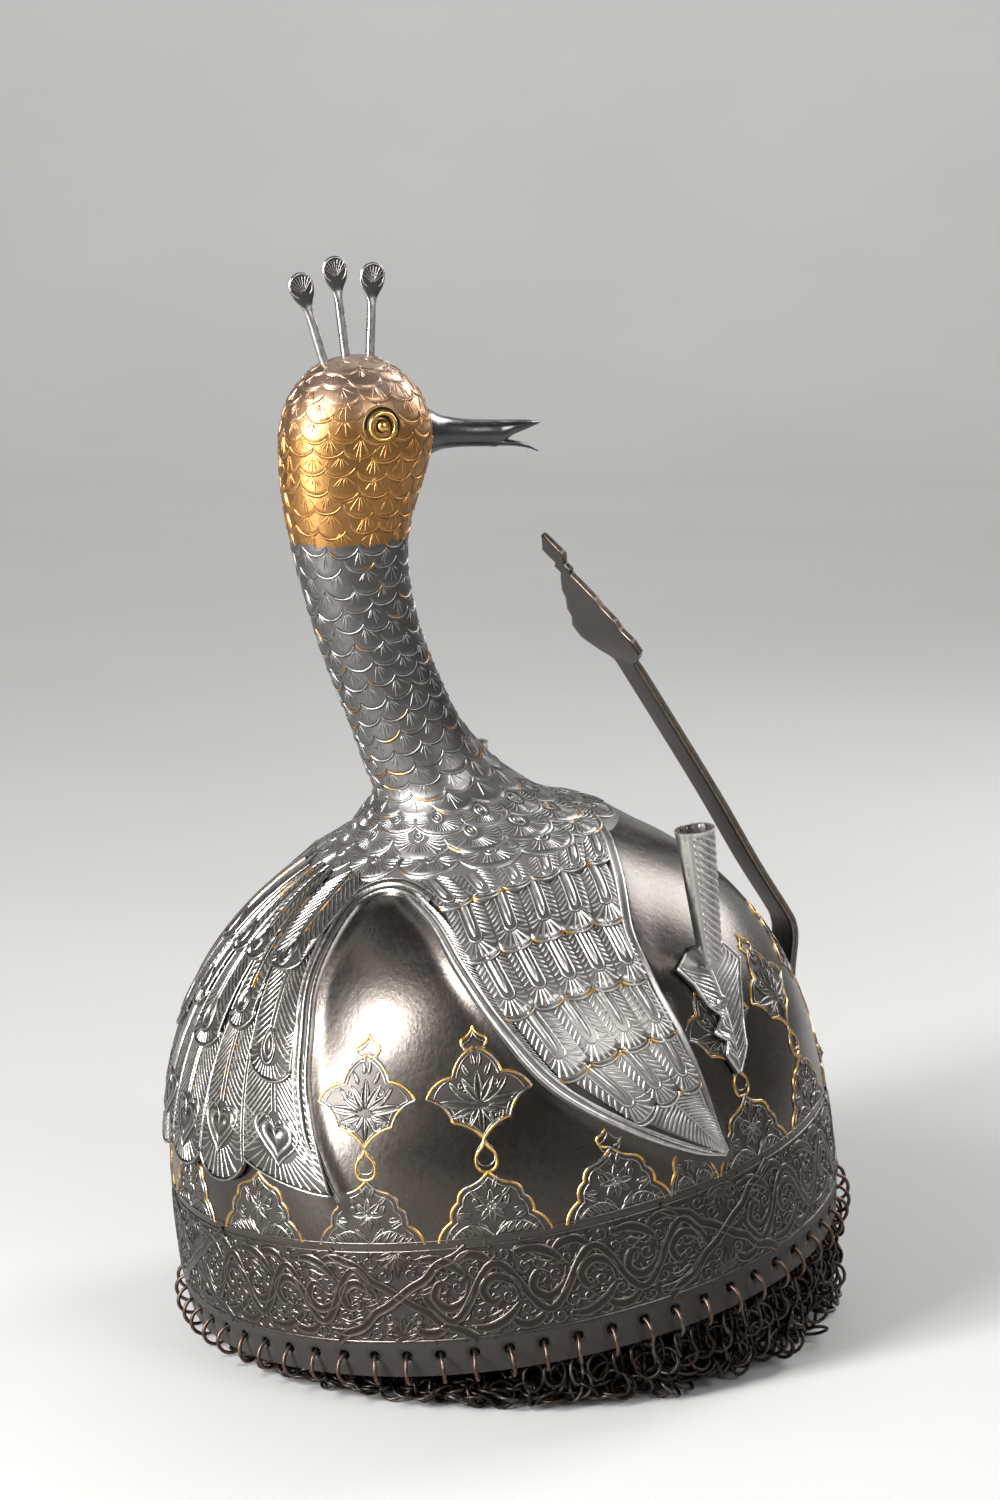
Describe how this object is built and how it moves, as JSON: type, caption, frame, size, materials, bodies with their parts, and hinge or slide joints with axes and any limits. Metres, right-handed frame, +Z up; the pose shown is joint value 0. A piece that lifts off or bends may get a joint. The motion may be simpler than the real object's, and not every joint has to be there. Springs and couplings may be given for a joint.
{
  "type": "kulah khud helmet",
  "caption": "Persian kulah khud in the form of a peacock: domed steel skull with embossed wings and tail, gilded head, plume holders, sliding nasal bar and gathered mail.",
  "frame": {"origin": "centre of the bounding box's base, on the surface that the helmet rests on", "axes": "+X towards the wearer's front, where the beak and nasal bar are; -Y towards the wearer's right; +Z up"},
  "size_m": [0.235, 0.2142, 0.3481],
  "materials": {
    "skull_steel": "burnished, dark brown",
    "gilded_steel": "worn gilding",
    "bright_steel": "polished",
    "gilt_eye": "gilded",
    "dark_steel": "dark, worn",
    "mail_iron": "blackened wire"
  },
  "bodies": {
    "helmet": {"bowl": "skull_steel", "neck_and_head": "gilded_steel", "beak": "bright_steel", "eye_right": "gilt_eye", "eye_left": "gilt_eye", "crest_feather_front": "dark_steel", "crest_feather_middle": "dark_steel", "crest_feather_rear": "dark_steel", "plume_holder_right": "dark_steel", "plume_holder_left": "dark_steel", "plume_rivet_right": "dark_steel", "plume_rivet_left": "dark_steel", "nasal_bracket": "dark_steel", "nasal_screw": "dark_steel", "mail_aventail": "mail_iron", "rim_rings_1": "mail_iron", "rim_rings_2": "mail_iron", "rim_rings_3": "mail_iron", "rim_rings_4": "mail_iron", "rim_rings_5": "mail_iron", "rim_rings_6": "mail_iron", "rim_rings_7": "mail_iron", "rim_rings_8": "mail_iron"},
    "nasal": {"nasal_bar": "dark_steel"}
  },
  "joints": [
    {"name": "nasal_slide", "type": "slide", "parent": "helmet", "child": "nasal", "axis": [0.1444, 0, -0.9895], "range_m": [0, 0.015]}
  ]
}
